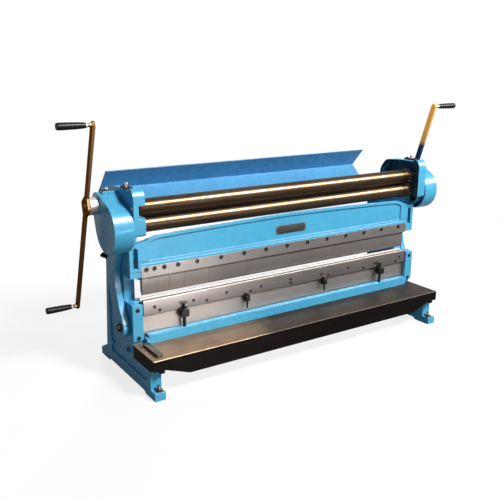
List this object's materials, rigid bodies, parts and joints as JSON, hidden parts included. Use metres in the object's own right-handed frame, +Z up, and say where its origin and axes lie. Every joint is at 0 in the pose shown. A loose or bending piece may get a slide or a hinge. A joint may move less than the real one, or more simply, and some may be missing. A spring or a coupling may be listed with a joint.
{
  "type": "slip roll machine",
  "caption": "Three in one sheet metal machine: gear-driven slip rolls over a finger brake and a table shear, with cranks at both ends and a bent back tray.",
  "frame": {"origin": "middle of the whole part's box in X and Y, on the floor under the feet", "axes": "+X to the operator's right along the rolls, +Y from the operator to the back, +Z up"},
  "size_m": [1.902, 0.5696, 0.9985],
  "materials": {
    "blue_paint": "gloss light blue enamel",
    "tool_steel": "ground steel, satin",
    "roll_steel": "polished steel",
    "machined_iron": "machined, oiled",
    "table_iron": "black enamel with a machined top",
    "black_steel": "black oxide",
    "black_grip": "moulded, glossy black",
    "bronze": "cast bearing bronze"
  },
  "bodies": {
    "frame": {"side_frame_left": "blue_paint", "side_frame_right": "blue_paint", "roll_housing_left": "blue_paint", "roll_housing_right": "blue_paint", "gear_cover_left": "blue_paint", "gear_cover_right": "blue_paint", "work_table": "table_iron", "lower_blade": "machined_iron", "squaring_guide": "machined_iron", "finger_beam": "blue_paint", "finger_clamp_strip": "tool_steel", "finger_1": "tool_steel", "finger_2": "tool_steel", "finger_3": "tool_steel", "finger_4": "tool_steel", "finger_5": "tool_steel", "finger_6": "tool_steel", "finger_7": "tool_steel", "finger_8": "tool_steel", "finger_9": "tool_steel", "ram_keeper_left": "blue_paint", "ram_keeper_right": "blue_paint", "back_tray": "blue_paint", "tie_rod": "blue_paint", "cap_plate_left": "black_steel", "cap_plate_right": "black_steel"},
    "lower_roll_train": {"lower_roll": "roll_steel", "bull_gear_left": "machined_iron", "bull_gear_right": "machined_iron", "lower_roll_gear": "machined_iron"},
    "upper_bearings": {"upper_block_left": "bronze", "upper_block_right": "bronze"},
    "upper_roll_train": {"upper_roll": "roll_steel", "upper_roll_gear": "machined_iron"},
    "upper_screw_left_body": {"upper_screw_left": "machined_iron"},
    "upper_screw_right_body": {"upper_screw_right": "machined_iron"},
    "rear_bearings": {"rear_block_left": "bronze", "rear_block_right": "bronze"},
    "rear_roll_body": {"rear_roll": "roll_steel"},
    "rear_screw_left_body": {"rear_screw_left": "machined_iron"},
    "rear_screw_right_body": {"rear_screw_right": "machined_iron"},
    "crank_left": {"crank_shaft_left": "roll_steel", "crank_collar_left": "roll_steel", "crank_bar_left": "roll_steel"},
    "crank_right": {"crank_shaft_right": "roll_steel", "crank_arm_right": "roll_steel"},
    "grip_top_left_body": {"grip_top_left": "black_grip"},
    "grip_bottom_left_body": {"grip_bottom_left": "black_grip"},
    "grip_right_body": {"grip_right": "black_grip"},
    "ram_body": {"ram": "tool_steel", "bend_die": "tool_steel", "upper_blade": "tool_steel", "link_pin_left": "machined_iron", "link_pin_right": "machined_iron"},
    "link_left_body": {"link_left": "blue_paint"},
    "link_right_body": {"link_right": "blue_paint"},
    "hold_down": {"hold_down_bar": "blue_paint", "plunger_left": "black_steel", "plunger_right": "black_steel"}
  },
  "joints": [
    {"name": "lower_roll_spin", "type": "hinge", "parent": "frame", "child": "lower_roll_train", "pos_m": [0.009, -0.07975, 0.606], "axis": [1, 0, 0], "continuous": true},
    {"name": "crank_left_spin", "type": "hinge", "parent": "frame", "child": "crank_left", "pos_m": [-0.827, -0.01155, 0.67914], "axis": [1, 0, 0], "continuous": true},
    {"name": "crank_right_spin", "type": "hinge", "parent": "frame", "child": "crank_right", "pos_m": [0.815, -0.01155, 0.67914], "axis": [1, 0, 0], "continuous": true},
    {"name": "upper_roll_set", "type": "slide", "parent": "frame", "child": "upper_bearings", "axis": [0, 0, 1], "range_m": [-0.0045, 0]},
    {"name": "upper_roll_spin", "type": "hinge", "parent": "upper_bearings", "child": "upper_roll_train", "pos_m": [0.009, -0.07975, 0.671], "axis": [1, 0, 0], "continuous": true},
    {"name": "rear_roll_set", "type": "slide", "parent": "frame", "child": "rear_bearings", "axis": [0, -0.9848, 0.1736], "range_m": [0, 0.015]},
    {"name": "rear_roll_spin", "type": "hinge", "parent": "rear_bearings", "child": "rear_roll_body", "pos_m": [0.009, -0.00175, 0.622], "axis": [1, 0, 0], "continuous": true},
    {"name": "ram_lift", "type": "slide", "parent": "frame", "child": "ram_body", "axis": [0, 0, 1], "range_m": [0, 0.018]},
    {"name": "hold_down_lift", "type": "slide", "parent": "frame", "child": "hold_down", "axis": [0, 0, 1], "range_m": [0, 0.01]},
    {"name": "upper_screw_left_turn", "type": "hinge", "parent": "upper_bearings", "child": "upper_screw_left_body", "pos_m": [-0.7015, -0.07975, 0.74], "axis": [0, 0, 1], "range_deg": [-541, 1]},
    {"name": "rear_screw_left_turn", "type": "hinge", "parent": "rear_bearings", "child": "rear_screw_left_body", "pos_m": [-0.7015, -0.00175, 0.622], "axis": [0, -0.9848, 0.1736], "range_deg": [-1, 1081]},
    {"name": "link_left_rock", "type": "hinge", "parent": "ram_body", "child": "link_left_body", "pos_m": [-0.726, -0.05075, 0.213], "axis": [1, 0, 0], "range_deg": [-1.3, 1.3]},
    {"name": "upper_screw_right_turn", "type": "hinge", "parent": "upper_bearings", "child": "upper_screw_right_body", "pos_m": [0.7195, -0.07975, 0.74], "axis": [0, 0, 1], "range_deg": [-541, 1]},
    {"name": "rear_screw_right_turn", "type": "hinge", "parent": "rear_bearings", "child": "rear_screw_right_body", "pos_m": [0.7195, -0.00175, 0.622], "axis": [0, -0.9848, 0.1736], "range_deg": [-1, 1081]},
    {"name": "link_right_rock", "type": "hinge", "parent": "ram_body", "child": "link_right_body", "pos_m": [0.744, -0.05075, 0.213], "axis": [1, 0, 0], "range_deg": [-1.3, 1.3]},
    {"name": "grip_top_left_spin", "type": "hinge", "parent": "crank_left", "child": "grip_top_left_body", "pos_m": [-0.902, -0.12531, 0.97395], "axis": [1, 0, 0], "continuous": true},
    {"name": "grip_bottom_left_spin", "type": "hinge", "parent": "crank_left", "child": "grip_bottom_left_body", "pos_m": [-0.902, 0.15153, 0.25651], "axis": [1, 0, 0], "continuous": true},
    {"name": "grip_right_spin", "type": "hinge", "parent": "crank_right", "child": "grip_right_body", "pos_m": [0.896, -0.10808, 0.98528], "axis": [1, 0, 0], "continuous": true}
  ],
  "couplings": [
    {"joint": "crank_left_spin", "follows": "lower_roll_spin", "ratio": -2.3333},
    {"joint": "crank_right_spin", "follows": "lower_roll_spin", "ratio": -2.3333},
    {"joint": "upper_roll_spin", "follows": "lower_roll_spin", "ratio": -1},
    {"joint": "hold_down_lift", "follows": "ram_lift", "ratio": 0.55556},
    {"joint": "upper_screw_left_turn", "follows": "upper_roll_set", "rad_per_m": 2094.4},
    {"joint": "rear_screw_left_turn", "follows": "rear_roll_set", "rad_per_m": 1256.6},
    {"joint": "upper_screw_right_turn", "follows": "upper_roll_set", "rad_per_m": 2094.4},
    {"joint": "rear_screw_right_turn", "follows": "rear_roll_set", "rad_per_m": 1256.6}
  ]
}
